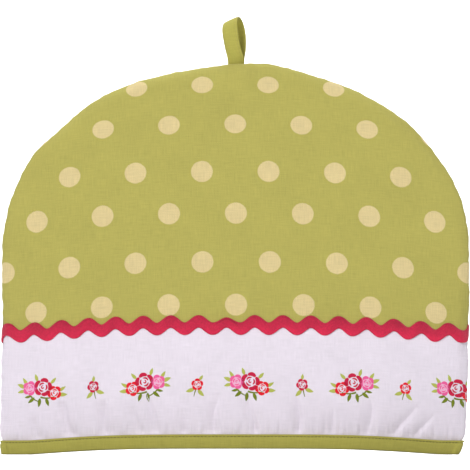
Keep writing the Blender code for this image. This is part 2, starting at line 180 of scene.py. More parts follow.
# Fine relief that only the render has
HEM_GATHER = 0.30
HEM_GATHER_REACH = 8.0
QUILT_WAVE = 0.18
QUILT_REACH_AT_JOIN = 22.0
QUILT_REACH_AT_HEM = 30.0
SEAM_PUCKER = 0.28
SEAM_PUCKER_REACH = 7 / 12  # of the way round the roll
SEAM_PUCKER_OFF_HEM = {"start": 2.0, "fade": 8.0}
SEAM_WAVES = [(9.3, 0.5), (13.7, 0.45), (6.9, 0.3), (23.0, 0.5)]  # (length, share)
SIDE_NICK = {"height": 108.5, "depth": 1.0, "reach": 4.0}
SIDE_DRAW = {"depth": 0.6, "top": 155.0, "top_fade": 15.0, "foot": 20.0, "foot_fade": 20.0}
JOIN_DRAW = {"height": 88.0, "depth": 1.9, "reach": 12.0}

# Grid steps
ROLL_STEPS = 12
CROWN_ROWS = 70
CROWN_SIDE_STEPS = 23
CROWN_DOME_STEPS = 270
CROWN_FOCUS_SHARE = 0.62  # of the half width, over which the crown's rows spread from the join
BORDER_STEPS = 420
BORDER_ROWS = 56
BRAID_STEPS_PER_WAVE = 24
BRAID_STEPS_ACROSS = 10
BINDING_STEPS = 170
LOOP_STEPS = 120
LOOP_STEPS_ACROSS = 14
LOOP_STITCH_STEPS = 160
STITCH_SIDES, STITCH_RINGS = 6, 5

FRONT, BACK = -1, 1
SIDES = {"front": FRONT, "back": BACK}

# Spots: two grids of them, one between the other
SPOT_RADIUS = 7.85
SPOT_PITCH = 47.9
SPOT_ROW_PITCH = 66.85
SPOT_GRIDS = [(0.4, 101.6), (24.35, 132.7)]
# How the spotted cloth lies on the dome: (each row's height, how far it is moved up, how it
# bows down towards the sides, how much shorter its spots are where the top turns away)
SPOT_ROWS = [
    (101.6, 0.0, 2.0e-5, 0.0),
    (132.7, 0.0, 8.0e-5, 0.0),
    (168.4, 0.3, 8.0e-5, 0.0),
    (199.6, 0.7, 9.8e-5, 0.0),
    (235.3, 1.45, 3.6e-4, 0.09),
    (266.4, 0.45, 6.0e-4, 0.24),
]
SPOT_SHORTER_REACH = 12.0
SPOT_SHIFT = {"by": 0.7, "from": 150.0, "over": 60.0}
BACK_SPOT_SHIFT = 14.0
SPOT_EDGE = {"ragged": 0.9, "out": 0.25, "sharp": 2.0}
SPOT_REPEATS_BEFORE = 10  # so that every place on the cloth counts up from the first spot

# Print: a row of rose garlands with a sprig between them
PRINT_REPEAT = 74.0
PRINT_START = 10.0
PRINT_HEIGHT = 45.0
GARLAND_UP = 0.6
# Leaves round a garland's roses: (start, degrees, length, width)
GARLAND_SPRAY = [
    ((-4.4, -6.6), 232, 6.0, 2.3),
    ((-0.4, -6.4), 276, 6.4, 2.4),
    ((4.0, -5.8), 304, 6.0, 2.3),
    ((-7.2, -6.0), 206, 4.6, 1.7),
]
GARLAND_LEAVES = [
    ((-12.4, -1.4), 170, 6.6, 2.7),
    ((-11.8, 0.8), 136, 6.2, 2.2),
    ((-12.2, -3.4), 208, 5.6, 2.2),
    ((12.4, -1.4), 10, 6.6, 2.7),
    ((11.8, 0.8), 44, 6.2, 2.2),
    ((-5.2, 5.0), 122, 5.4, 2.2),
    ((5.0, 5.2), 60, 5.4, 2.2),
]
PRINT_TILT = 14
INK_GRID = 0.8
INK_LAST_TURN = 0.97  # round the edge's roll
INK_LIFTS = {"stem": 0.06, "leaf": 0.07, "disc": 0.08, "petal": 0.10, "inner": 0.12}

# Colours, linear
GREEN = (0.455, 0.412, 0.101)
CREAM = (0.71, 0.58, 0.29)
LILAC_WHITE = (0.82, 0.755, 0.845)
TRIM_GREEN = (0.415, 0.382, 0.080)
CRIMSON_BRAID = (0.62, 0.0146, 0.062)
UNDYED = (0.74, 0.70, 0.60)
INKS = {
    "crimson": (0.60, 0.014, 0.06),
    "scarlet": (0.80, 0.014, 0.030),
    "pink": (0.86, 0.12, 0.34),
    "blush": (0.88, 0.48, 0.66),
    "leaf": (0.46, 0.50, 0.10),
    "spray": (0.17, 0.22, 0.012),
}

# Cloth: lengths in millimetres, and shares of the tone
THREAD_PITCH = 0.6
SLUB_STRETCHES = [(0.10, 1.7, 1), (1.7, 0.10, 1)]
COTTON_MOTTLE = {"scale": 0.035, "share": 0.13}
COTTON_THREADS_SHARE = 0.05
COTTON = {
    "Roughness": 0.88, "Sheen Weight": 0.12, "Sheen Roughness": 0.5, "Specular IOR Level": 0.25,
}
PLAIT = {"slant": 0.9, "threads": 1.05, "ends": 0.8}
# The braid's tone; its "height" share is painted shade, darker the higher the braid lies.
BRAID_TONE = {"threads": 0.13, "fuzz": 0.8, "mottle": 0.5, "height": -0.3, "level": 0.47}
BRAID = {"Roughness": 0.75, "Sheen Weight": 0.2, "Specular IOR Level": 0.3}
THREAD = {"Roughness": 0.65, "Sheen Weight": 0.2}
PAPER = {"Roughness": 0.9, "Specular IOR Level": 0.1}

# Studio, in metres
FLOOR = {"reach": 5.0, "front": -4.0, "back": 4.4, "radius": 1.2, "height": 4.0, "grey": 0.76}
FLOOR_STEPS = 16
SKY = 0.24
# (name, place, aim, size, watts, spread)
LAMPS = [
    ("key", (-1.45, -3.75, 2.65), (0, 0, 0.14), (0.7, 0.7), 128, 180),
    ("right", (0.32, -0.34, 0.2), (0.12, 0, 0.13), (0.15, 0.15), 0.15, 180),
    ("floor_light", (0, -1.2, 0.6), (0, -1.2, 0), (0.5, 0.5), 6, 50),
    ("top", (0.0, 0.6, 2.2), (0, 1.6, 0.4), (2.5, 0.8), 44, 180),
    ("backdrop", (0, 2.6, 2.4), (0, 4.3, 0.7), (3.0, 0.8), 130, 180),
]
CAMERA = {"x": -0.0004, "distance": 1.6, "eye": 0.0004, "aim_height": 0.159, "seen_width": 0.3422}
SENSOR_WIDTH = 36  # millimetres


def smooth(value):
    value = np.clip(value, 0, 1)
    return value * value * (3 - 2 * value)


def bell(value, middle, reach, power=2):
    """1 at the middle, and less away from it."""
    return np.exp(-(((value - middle) / reach) ** power))


def side_of(x):
    """-1 to the left of the middle, and 1 to the right."""
    return np.where(x < 0, -1, 1)


def by_side(sign, values):
    """The value of each place's side, left -1 or right 1."""
    return np.where(sign < 0, values[-1], values[1])


def stacked(*values):
    return np.stack(np.broadcast_arrays(*values), axis=-1)


def unit(vectors):
    return vectors / np.maximum(np.linalg.norm(vectors, axis=-1, keepdims=True), 1e-9)


def run_lengths(points):
    """How far along a line each of its points is."""
    steps = np.linalg.norm(np.diff(points, axis=0), axis=1)
    return np.concatenate([[0], np.cumsum(steps)])


# Outline and hollow


def side_x(sign, z):
    lean = by_side(sign, SIDE_LEAN) * np.clip(1 - z / SIDE_LEAN_HEIGHT, 0, None) ** 2
    pinch = BINDING_PINCH * smooth((BINDING_PINCH_TOP - z) / BINDING_PINCH_FADE)
    slant = by_side(sign, HEM_SLANT) * np.clip(1 - z / HEM_SLANT_TOP, 0, None)
    return sign * (HALF_WIDTH - lean - pinch - slant)


def dome_point(degrees):
    angle = np.radians(degrees)
    across, up = np.cos(angle), np.maximum(np.sin(angle), 0)
    x = HALF_WIDTH * np.sign(across) * np.abs(across) ** (2 / DOME_WIDTH_POWER)
    rise = (CROWN_TOP - SPRING_HEIGHT) * up ** (2 / DOME_HEIGHT_POWER)
    lump = sum(height * bell(degrees, angle, reach) for angle, height, reach in SEAM_LUMPS)
    lump = lump * smooth(degrees / 10) * smooth((180 - degrees) / 10)
    return x + lump * across, SPRING_HEIGHT + rise + lump * up


def half_width(sign, z):
    share = np.clip((z - SPRING_HEIGHT) / (CROWN_TOP - SPRING_HEIGHT), 0, 1)
    dome = HALF_WIDTH * (1 - share**DOME_HEIGHT_POWER) ** (1 / DOME_WIDTH_POWER)
    return np.where(z <= SPRING_HEIGHT, np.abs(side_x(sign, z)), dome)


def cavity(x, z):
    reach = np.maximum(half_width(side_of(x), z) - SEAM_ALLOWANCE, 1)
    across = np.clip(1 - (x / reach) ** 2, 0, 1)
    upward = np.clip(1 - (z / (CROWN_TOP - SEAM_ALLOWANCE)) ** 2, 0, 1)
    return CAVITY_DEPTH * across * upward


def loop_slot(x, z):
    depth = LOOP_STRAP_CLOTH + GAP
    across = smooth((LOOP_SLOT_HALF_WIDTH + LOOP_SLOT_FADE - np.abs(x)) / LOOP_SLOT_FADE)
    return depth * across * smooth((z - (CROWN_TOP - 3 * LOOP_ROOT)) / (1.6 * LOOP_ROOT))


def arch(x, z):
    across = np.clip(1 - (np.abs(x) / HEM_ARCH_HALF_WIDTH) ** 4, 0, 1) ** 1.5
    upward = smooth((z - JOIN_HEIGHT) / (CROWN_TOP - JOIN_HEIGHT))
    return HEM_ARCH * across * (1 - (1 - ARCH_LEFT_AT_TOP) * upward)


def placed(x, depth, z, side):
    return stacked(x, side * depth, z + arch(x, z))


# Padded wall


def pucker(x, z, side, thickness):
    """How deep the troughs above the hem are, never more than a share of the thickness."""
    across = -side * x
    height = z - BINDING_HEIGHT
    total = 0.0
    for foot, top, rise, depth, width, sharpness in HEM_PUCKERS:
        share = np.clip(height / rise, -1, 1)
        up = np.maximum(share, 0)
        off = (across - foot - (top - foot) * up) / width
        trough = TROUGH_SHARE * np.exp(-(off**2)) * (1 - smooth(share))
        bent = off - CREASE_BEND * np.sin(height / CREASE_BEND_HEIGHT + foot) * up
        flank = np.where(bent < 0, *CREASE_WIDTHS)
        crease = sharpness * np.exp(-np.hypot(bent, CREASE_ROUNDING) / flank) * (1 - up**3)
        total = total + depth * smooth(height / PUCKER_START) * (trough + crease)
    deepest = DEEPEST_SHARE * thickness
    strength = 1.0 if side == FRONT else BACK_PUCKER_SHARE
    return deepest * (1 - np.exp(-total * strength / deepest))


def hem_gathers(x, z, side):
    """Small gathers where the cloth goes under the binding."""
    a = -side * x
    waves = (
        np.sin(a / 0.9 + 2.2 * np.sin(a / 13))
        + np.sin(a / 1.45 + 1.6 * np.sin(a / 19 + 1))
        + 0.5 * np.sin(a / 0.57 + 0.7)
    )
    rise = (z - BINDING_HEIGHT) / HEM_GATHER_REACH
    return HEM_GATHER * waves * np.exp(-(rise**2)) * smooth(3 * rise)


def unevenness(x, z, side):
    """Slow waves of the wadding."""
    a, b = -side * x / 58, z / 47
    waves = np.sin(a - 1.3) * np.cos(b - 0.7) + 0.6 * np.sin(1.9 * a - 1.4 * b - 1)
    return UNEVENNESS * waves


def quilt(x, z, side):
    """Smaller waves of the cloth over the wadding."""
    a = -side * x
    waves = (
        np.sin(a / 11.3 + 0.6 * np.sin(z / 17)) * np.sin(z / 13.1 + 0.7 * np.sin(a / 23))
        + 0.7 * np.sin(a / 7.1 - z / 19.0 + 2)
        + 0.6 * np.sin(z / 8.3 + a / 31.0 + 0.5)
    )
    at_join = bell(z, JOIN_HEIGHT, QUILT_REACH_AT_JOIN)
    strength = 0.45 + 0.55 * at_join + 0.5 * np.exp(-z / QUILT_REACH_AT_HEM)
    return QUILT_WAVE * strength * waves


def wall(x, z, side):
    """The padded wall's thickness."""
    rise = np.clip((z - BINDING_HEIGHT - SWELL_START) / SWELL_HEIGHT, 0, 1)
    swell = np.sin(np.pi / 2 * rise) ** SWELL_FULLNESS
    full = WALL + unevenness(x, z, side)
    thickness = WALL_IN_BINDING + (full - WALL_IN_BINDING) * swell
    thickness = thickness - JOIN_DIP * bell(z, JOIN_HEIGHT, JOIN_DIP_REACH)
    fine = hem_gathers(x, z, side) + quilt(x, z, side) * swell
    return thickness - pucker(x, z, side, thickness) + fine


def roll(turn, thickness):
    """(inset, height) of the rolled edge, from the flat at turn 0 to the seam at turn 1."""
    centre = ROLL_CENTRE_SHARE * thickness
    lift = thickness - centre
    start = np.arcsin(np.clip((SEAM_FABRIC - centre) / lift, -1, 1))
    angle = np.pi / 2 + (start - np.pi / 2) * turn
    width = ROLL_WIDTH * thickness / WALL
    return width * (1 - np.cos(angle)), centre + lift * np.sin(angle)


def section(across, turn, z, side):
    """(x, depth) of the border's outer face at height z."""
    sign = side_of(across)
    edge = side_x(sign, z)
    flat = np.abs(edge) - roll(0.0, wall(edge, z, side))[0]
    flat_x = across * flat
    flat_depth = GAP / 2 + cavity(flat_x, z) + wall(flat_x, z, side)
    inset, height = roll(turn, wall(sign * flat, z, side))
    edge_x = edge - sign * inset
    edge_depth = GAP / 2 + cavity(edge_x, z) + height
    return np.where(turn > 0, edge_x, flat_x), np.where(turn > 0, edge_depth, flat_depth)


def skin(across, turn, z, side, out):
    """Points of the border's outer face, moved outwards by out."""
    across, turn, z, out = np.broadcast_arrays(across, turn, z, out)
    sign = side_of(across)
    x, depth = section(across, turn, z, side)

    def beside(step):
        near_across = np.where(turn > 0, sign, np.clip(across + step, -1, 1))
        near_turn = np.where(turn > 0, turn + sign * step, 0.0)
        return section(near_across, near_turn, z, side)

    (ax, ad), (bx, bd) = beside(-0.01), beside(0.01)
    run, fall = bx - ax, bd - ad
    length = np.hypot(run, fall)
    folded = turn > 0.75
    dx = np.where(folded, sign * out, -out * fall / length)
    dd = np.where(folded, 0.0, out * run / length)
    return placed(x + dx, depth + dd, z, side)


# Meshes


def add_object(name, data):
    made = bpy.data.objects.new(name, data)
    bpy.context.scene.collection.objects.link(made)
    return made


def make_piece(name, points, faces, materials, slots=None, cloth=None, closed=True):
    """A piece on the root body; faces is a list of them, and points are in millimetres."""
    mesh = bpy.data.meshes.new(name)
    mesh.from_pydata((points * MM).tolist(), [], faces)
    if slots is not None:
        mesh.polygons.foreach_set("material_index", slots.astype(np.int32))
    if cloth is not None:
        layer = mesh.attributes.new("cloth", "FLOAT_VECTOR", "POINT")
        layer.data.foreach_set("vector", cloth.astype(np.float32).ravel())
    for made in materials:
        mesh.materials.append(made)
    if closed:
        bm = bmesh.new()
        bm.from_mesh(mesh)
        bmesh.ops.recalc_face_normals(bm, faces=bm.faces[:])
        bm.to_mesh(mesh)
        bm.free()
    mesh.shade_smooth()
    piece = add_object(name, mesh)
    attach(piece, "root")
    return piece


def grid_faces(columns, rows, first=0, close_columns=False, close_rows=False):
    """Quads of a grid of points that is stored column by column."""
    c = np.arange(columns if close_columns else columns - 1)
    r = np.arange(rows if close_rows else rows - 1)
    c, r = [a.ravel() for a in np.meshgrid(c, r, indexing="ij")]
    c1, r1 = (c + 1) % columns, (r + 1) % rows
    corners = [c * rows + r, c1 * rows + r, c1 * rows + r1, c * rows + r1]
    return np.stack(corners, axis=1) + first


def slab_piece(name, outer, inner, materials, cloth, seam_rows=0):
    """A closed piece from two grids of points with the same steps, joined round their rim.

    The inner side's last seam_rows rows are of the outer cloth, turned in at the seam.
    """
    columns, rows = outer.shape[:2]
    count = columns * rows
    top = grid_faces(columns, rows)
    under = grid_faces(columns, rows, first=count)[:, ::-1]
    index = np.arange(count).reshape(columns, rows)
    loop = np.concatenate([index[:, 0], index[-1, 1:], index[-2::-1, -1], index[0, -2:0:-1]])
    after = np.roll(loop, -1)
    rim = np.stack([loop, loop + count, after + count, after], axis=1)
    faces = np.concatenate([top, under, rim])
    lining = np.ones((columns - 1, rows - 1))
    lining[:, rows - 1 - seam_rows:] = 0
    slots = np.concatenate([np.zeros(len(top)), lining.ravel(), np.zeros(len(rim))])
    if len(materials) == 1:
        slots = np.zeros(len(faces))
    points = np.concatenate([outer.reshape(-1, 3), inner.reshape(-1, 3)])
    cloth = np.concatenate([cloth.reshape(-1, 3)] * 2)
    return make_piece(name, points, faces.tolist(), materials, slots, cloth)


def grid_normals(points, towards):
    """Directions across a grid of points, on the side that most of towards points to."""
    normal = unit(np.cross(np.gradient(points, axis=0), np.gradient(points, axis=1)))
    return normal * np.sign((normal * towards).sum())


def seam_gathers(along, seed):
    """Small irregular gathers along a seam, for places in millimetres along it."""
    return sum(
        share * np.sin(2 * np.pi * along / length + seed * k)
        for k, (length, share) in enumerate(SEAM_WAVES, 1)
    )


def seam_gap(turn):
    """How far the lining stands off the middle: the panels close on each other at their seam."""
    return GAP / 2 * (1 - smooth(2 * turn))


def seam_fade(turn):
    """1 at the seam and less away from it, round the roll."""
    return bell(turn, 1, SEAM_PUCKER_REACH) * (turn > 0)


def side_draw(turn, z):
    """How far the side seams draw the rolled edge in, most of all at the join."""
    join = JOIN_DRAW["depth"] * bell(z, JOIN_DRAW["height"], JOIN_DRAW["reach"])
    below = smooth((SIDE_DRAW["top"] - z) / SIDE_DRAW["top_fade"])
    above = smooth((z - SIDE_DRAW["foot"]) / SIDE_DRAW["foot_fade"])
    return (join + SIDE_DRAW["depth"] * below * above) * smooth(turn * ROLL_EASE)


def edge_relief(turn, z, side):
    """How far the border's side seams raise the cloth, or draw it in where this is negative."""
    off_hem = (z - BINDING_HEIGHT - SEAM_PUCKER_OFF_HEM["start"]) / SEAM_PUCKER_OFF_HEM["fade"]
    fade = seam_fade(turn) * smooth(off_hem)
    return SEAM_PUCKER * seam_gathers(z, 1.7 + side) * fade - side_draw(turn, z)


# Panels


def spaced_station(steps):
    """(across, turn) of each column: the flat from -1 to 1, with the rolled edges beyond it."""
    flat = np.linspace(-1, 1, steps + 1)
    turn = np.linspace(0, 1, ROLL_STEPS + 1)[1:]
    across = np.concatenate([-np.ones(ROLL_STEPS), flat, np.ones(ROLL_STEPS)])
    return across, np.concatenate([turn[::-1], np.zeros(steps + 1), turn])


def border_panel(label, side, materials):
    across, turn = [a[:, None] for a in spaced_station(BORDER_STEPS)]
    z = np.linspace(BORDER_FOOT, JOIN_HEIGHT - GAP / 2, BORDER_ROWS + 1)[None, :]
    x, depth = section(across, turn, z, side)
    outer = placed(x, depth, z, side)
    sign = side_of(across)
    edge = side_x(sign, z)
    thickness = wall(edge, z, side)
    inset = roll(0.0, thickness)[0] * (1 - turn) + roll(1.0, thickness)[0] * turn
    lining_x = across * (np.abs(edge) - inset)
    inner = placed(lining_x, seam_gap(turn) + cavity(lining_x, z), z, side)
    relief = edge_relief(turn, z, side) + 0 * across
    outer = outer + grid_normals(outer, outer - inner) * relief[..., None]
    flat_x = np.where(turn > 0, sign * (np.abs(edge) - ROLL_WIDTH), x)
    cloth = stacked(flat_x + sign * ROLL_LENGTH * turn, z, 0.0)
    piece = slab_piece(f"border_cloth_{label}", outer, inner, materials, cloth)
    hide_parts(f"border_{label}")


def seam_point(place):
    """(x, z) of the crown's seam: the right side -1 to 0, the dome to 180, the left side to 181."""
    dome_x, dome_z = dome_point(np.clip(place, 0, 180))
    right = SPRING_HEIGHT + (SPRING_HEIGHT - CROWN_FOOT) * place
    left = SPRING_HEIGHT - (SPRING_HEIGHT - CROWN_FOOT) * (place - 180)
    x = np.where(place < 0, HALF_WIDTH, np.where(place > 180, -HALF_WIDTH, dome_x))
    return x, np.where(place < 0, right, np.where(place > 180, left, dome_z))


def seam_normal(place):
    """The direction outwards across the seam, in the panel's plane."""
    step = np.where((place >= 0) & (place <= 180), 1.0, 0.01)
    ax, az = seam_point(np.maximum(place - step, -1))
    bx, bz = seam_point(np.minimum(place + step, 181))
    length = np.hypot(bx - ax, bz - az)
    return (bz - az) / length, (ax - bx) / length


def spotted_cloth(x, z):
    """The place on the printed cloth of a place on the panel."""
    heights, ups, bows, _ = zip(*SPOT_ROWS)
    up, bow = np.interp(z, heights, ups), np.interp(z, heights, bows)
    longer = sum(
        shorter * (z - height) * bell(z, height, SPOT_SHORTER_REACH, 4)
        for height, _, _, shorter in SPOT_ROWS
    )
    shift = SPOT_SHIFT["by"] * smooth((z - SPOT_SHIFT["from"]) / SPOT_SHIFT["over"])
    return x + shift, z - up + longer + bow * x**2


def crown_panel(label, side, materials):
    places = np.concatenate([
        np.linspace(-1, 0, CROWN_SIDE_STEPS + 1)[:-1],
        np.linspace(0, 180, CROWN_DOME_STEPS + 1)[:-1],
        np.linspace(180, 181, CROWN_SIDE_STEPS + 1),
    ])[:, None]
    shares = np.linspace(0, 1, CROWN_ROWS + 1)
    turn = np.concatenate([np.zeros(CROWN_ROWS), np.linspace(0, 1, ROLL_STEPS + 1)])[None, :]
    shares = np.concatenate([shares, np.ones(ROLL_STEPS)])[None, :]
    u = np.linspace(0, 1, len(places))[:, None]
    x, z = seam_point(places)
    normal_x, normal_z = seam_normal(places)
    start_x = CROWN_FOCUS_SHARE * HALF_WIDTH * (1 - 2 * u)
    run, climb = x - start_x, z - CROWN_FOOT
    length = np.hypot(run, climb)
    slant = (run * normal_x + climb * normal_z) / length
    thickness = wall(x, z, side)
    width = roll(0.0, thickness)[0]
    roll_inset, roll_height = roll(turn, thickness)

    def layer(inset):
        reach = (length - inset / slant) * shares / length
        return start_x + run * reach, CROWN_FOOT + climb * reach

    px, pz = layer(np.where(turn > 0, roll_inset, width))
    height = np.where(turn > 0, roll_height, wall(px, pz, side))
    outer = placed(px, GAP / 2 + cavity(px, pz) + loop_slot(px, pz) + height, pz, side)
    lx, lz = layer(width * (1 - turn) + roll(1.0, thickness)[0] * turn)
    inner = placed(lx, seam_gap(turn) + cavity(lx, lz) + loop_slot(lx, lz), lz, side)

    gathers = seam_gathers(run_lengths(np.hstack([x, z]))[:, None], 1.1 + side)
    relief = SEAM_PUCKER * gathers * seam_fade(turn)
    nick = SIDE_NICK["depth"] * bell(z, SIDE_NICK["height"], SIDE_NICK["reach"])
    relief = relief - nick * smooth(turn * ROLL_EASE) * (places > 180) - side_draw(turn, z)
    outer = outer + grid_normals(outer, outer - inner) * relief[..., None]

    # The printed cloth's own coordinates: flat over the panel, and unrolled round its edge
    step = np.hypot(np.diff(roll_inset, axis=1), np.diff(roll_height, axis=1))
    unrolled = np.concatenate([np.zeros((len(places), 1)), np.cumsum(step, axis=1)], axis=1)
    flattened = unrolled - np.where(turn > 0, width - roll_inset, 0)
    cloth_x, cloth_z = px + normal_x * flattened, pz + normal_z * flattened
    spot_x, spot_z = spotted_cloth(cloth_x, cloth_z)
    cloth = stacked(spot_x + BACK_SPOT_SHIFT * (side == BACK), spot_z, 0.0)
    seam_rows = ROLL_STEPS + SEAM_ROWS_TURNED_IN
    piece = slab_piece(f"crown_cloth_{label}", outer, inner, materials, cloth, seam_rows)
    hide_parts(f"crown_{label}")


# Trims


def braid_path(along):
    """(height, lean) of the braid's centre line."""
    wave = by_side(along - BRAID_CREST_AT, BRAID_WAVE)
    phase = 2 * np.pi * (along - BRAID_CREST_AT) / wave
    slope = -BRAID_SWING * np.sin(phase) * 2 * np.pi / wave
    return JOIN_HEIGHT + BRAID_SWING * np.cos(phase), BRAID_LEAN_SHARE * np.arctan(slope)


def on_join(along, z, side, out):
    """Points above the join's cloth, round into the side seams."""
    flat = HALF_WIDTH - ROLL_WIDTH
    turn = np.clip((np.abs(along) - flat) / ROLL_LENGTH, 0, 1)
    across = np.where(turn > 0, np.sign(along), along / flat)
    return skin(across, turn, z, side, out + BRAID_EASE * smooth(4 * turn) - side_draw(turn, z))


def braid(label, side, materials):
    half_length = HALF_WIDTH - ROLL_WIDTH + ROLL_LENGTH
    steps = round(2 * half_length / BRAID_WAVE[1] * BRAID_STEPS_PER_WAVE)
    along = np.linspace(-half_length, half_length, steps + 1)[:, None]
    across = np.sin(np.linspace(-1, 1, BRAID_STEPS_ACROSS + 1)[None, :] * np.pi / 2)
    z, lean = braid_path(along)
    lean = lean * smooth((half_length - np.abs(along)) / BRAID_ENDS_SQUARE)
    offset = across * BRAID_WIDTH / 2
    px = along - offset * np.sin(lean)
    fold = bell(along, BRAID_CREST_AT, CREST_FOLD["reach"], 4) * (side == FRONT)
    pz = z + offset * np.cos(lean) - CREST_FOLD["drop"] * fold * smooth(across)
    plait_phase = 2 * np.pi * (along / BRAID_PLAIT["pitch"] + np.abs(across) * BRAID_PLAIT["slant"])
    plait = BRAID_PLAIT["height"] * np.sin(plait_phase)
    crown = BRAID_CROWN_SHARE * np.sqrt(np.clip(1 - across**4, 0, 1))
    rise = BRAID_CLOTH * crown + BRAID_EDGE_CLOTH + plait * (1 - across**2)
    # Painted shade: the braid's colour darkens the higher it lies, and again in a line under the
    # front crest's folded edge.
    painted_shade = (pz - JOIN_HEIGHT) / (BRAID_SWING + BRAID_WIDTH / 2)
    (ridge, *ridge_place), (fold_painted_shade, *shade_place) = CREST_FOLD["ridge"], CREST_FOLD["shade"]
    rise = rise + ridge * fold * bell(across, *ridge_place)
    painted_shade = painted_shade + fold_painted_shade * fold * bell(across, *shade_place)
    outer = on_join(px, pz, side, GAP + rise)
    inner = on_join(px, pz, side, GAP + 0 * rise)
    cloth = stacked(along, offset, painted_shade)
    piece = slab_piece(f"wavy_braid_{label}", outer, inner, materials, cloth)
    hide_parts(f"braid_{label}")


def binding_profile():
    """The strip's section: (side of the border's cloth, distance off it, height) all round it."""
    outer = GAP + BINDING_CLOTH
    half = [(share * outer, z) for share, z in BINDING_FACE]
    half.append(((outer + GAP) / 2, BINDING_HEIGHT + BINDING_TOP_EDGE["above"]))
    for z in (BINDING_HEIGHT - BINDING_TOP_EDGE["below"], BINDING_MIDDLE, BINDING_CLOTH):
        half.append((GAP, z))
    under = (outer - 2 * BINDING_FOLD, 0.0)
    inside = half[::-1] + [under]
    return [("out", *p) for p in half] + [("in", *p) for p in inside] + [("out", *under)]


def binding_level(where, distance, z, across, turn, side):
    """One level of the strip, along the front or the back."""
    if where == "out":
        wave = BINDING_WAVE * np.sin(across * 61 + z) * np.sin(across * 23 + side)
        return skin(across, turn, z, side, distance + wave * (distance > GAP))
    sign, outer = side_of(across), GAP + BINDING_CLOTH
    reach = half_width(sign, z) - SEAM_ALLOWANCE
    end = reach * np.sqrt(1 - (outer + GAP) / CAVITY_DEPTH) + outer - distance
    x = sign * end * (BINDING_FLAT_SHARE * np.abs(across) + (1 - BINDING_FLAT_SHARE) * turn)
    depth = np.maximum(cavity(x, z) + GAP / 2 - distance, BINDING_LEAST_DEPTH)
    return placed(x, depth, z, side)


def binding(materials):
    across, turn = spaced_station(BINDING_STEPS - 2 * ROLL_STEPS)
    halves = [(across, turn, FRONT), (across[::-1], turn[::-1], BACK)]
    profile = binding_profile()
    levels = [
        np.concatenate([binding_level(*level, *half) for half in halves]) for level in profile
    ]
    points = np.stack(levels, axis=1)
    flow = run_lengths(points[:, BINDING_MEASURED_LEVEL])
    flat = [(d if where == "out" else -d - BINDING_INSIDE_AWAY, z) for where, d, z in profile]
    cloth = stacked(flow[:, None], run_lengths(flat)[None, :], 0.0).reshape(-1, 3)
    faces = grid_faces(*points.shape[:2], close_columns=True, close_rows=True).tolist()
    piece = make_piece("hem_strip", points.reshape(-1, 3), faces, materials, cloth=cloth)
    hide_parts("hem_binding")


def loop_yaw(height):
    """How far the strap has turned at a share of the loop's height."""
    return LOOP_YAW["turn"] * float(smooth(height / LOOP_YAW["over"]))


def loop_centre(s):
    """The middle of the strap's thickness, from its front end at 0 to its back end at 1."""
    half_gap = GAP / 2 + LOOP_STRAP_CLOTH / 2
    base = np.array([LOOP_STANCE, 0, LOOP_BASE])
    to_end = min(s, 1 - s)
    if to_end < LOOP_ROOT_SHARE:
        depth = -half_gap if s < 0.5 else half_gap
        return base + np.array([0, depth, -LOOP_ROOT * (1 - to_end / LOOP_ROOT_SHARE)])
    turn = 2 * math.pi * (s - LOOP_ROOT_SHARE) / (1 - 2 * LOOP_ROOT_SHARE)
    swell = math.sin(turn) * math.sin(turn / 2) ** LOOP_POINTEDNESS
    depth = -half_gap * math.cos(turn / 2) - LOOP_HALF_OPENING / LOOP_SWELL_PEAK * swell
    height = LOOP_CENTRE_HEIGHT * (1 - math.cos(turn)) / 2
    yaw = loop_yaw(height / LOOP_HEIGHT)
    lean = LOOP_LEAN * (height / LOOP_HEIGHT) ** LOOP_LEAN_POWER
    return base + np.array([lean + depth * math.sin(yaw), depth * math.cos(yaw), height])


def loop_frame(s):
    """(centre, direction of the width, outward direction) of the strap."""
    middle = loop_centre(s)
    height = min(max((middle[2] - LOOP_BASE) / LOOP_HEIGHT, 0), 1)
    yaw, crease = loop_yaw(height), LOOP_CREASE_TILT
    tilt = crease["turn"] * float(smooth((height - crease["from"]) / crease["over"]))
    level = math.cos(tilt)
    width = np.array([math.cos(yaw) * level, -math.sin(yaw) * level, math.sin(tilt)])
    tangent = loop_centre(min(s + 0.01, 1)) - loop_centre(max(s - 0.01, 0))
    return middle, width, unit(np.cross(width, tangent))


def loop_layer(across, rise):
    rows = []
    for s in np.linspace(0, 1, LOOP_STEPS + 1):
        middle, width, normal = loop_frame(s)
        offset = across[:, None] * LOOP_STRAP_WIDTH / 2
        rows.append(middle + offset * width + rise[:, None] * normal)
    return np.array(rows)


def loop_outward():
    """1 or -1: which way along the strap's normal is the outside of the loop."""
    return 1.0 if loop_frame(0.5)[2][2] > 0 else -1.0


def hanging_loop(materials):
    across = np.sin(np.linspace(-1, 1, LOOP_STEPS_ACROSS + 1) * np.pi / 2)
    half = LOOP_STRAP_CLOTH / 2
    rounded = half * np.clip(1 - across**6, 0.05, 1) ** 0.5
    dip = bell(np.abs(across), LOOP_STITCH["row"], LOOP_STITCH_DIP["reach"])
    rise = loop_outward() * (rounded - LOOP_STITCH_DIP["depth"] * dip)
    outer, inner = loop_layer(across, rise), loop_layer(across, -rise)
    flow = np.linspace(0, LOOP_STRAP_LENGTH, LOOP_STEPS + 1)[:, None]
    cloth = stacked(across[None, :] * LOOP_STRAP_WIDTH / 2, flow, 0.0)
    piece = slab_piece("loop_strap", outer, inner, materials, cloth)
    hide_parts("hanging_loop")


# Stitches


def capsule(start, end, up, radius):
    """A short thread lying from start to end, as rings of points."""
    along = unit(end - start)
    up = unit(up - along * (up @ along))
    across = np.cross(along, up)
    angle = 2 * np.pi * np.arange(STITCH_SIDES)[:, None] / STITCH_SIDES
    ring = np.cos(angle) * across + np.sin(angle) * up
    points = []
    for t in np.linspace(0, 1, STITCH_RINGS):
        size = radius * max(math.sin(math.pi * (0.12 + 0.76 * t)) ** 0.6, 0.2)
        centre = start + (end - start) * t + up * radius * 0.6 * (math.sin(math.pi * t) - 0.9)
        points.append(centre + size * ring)
    return np.concatenate(points)


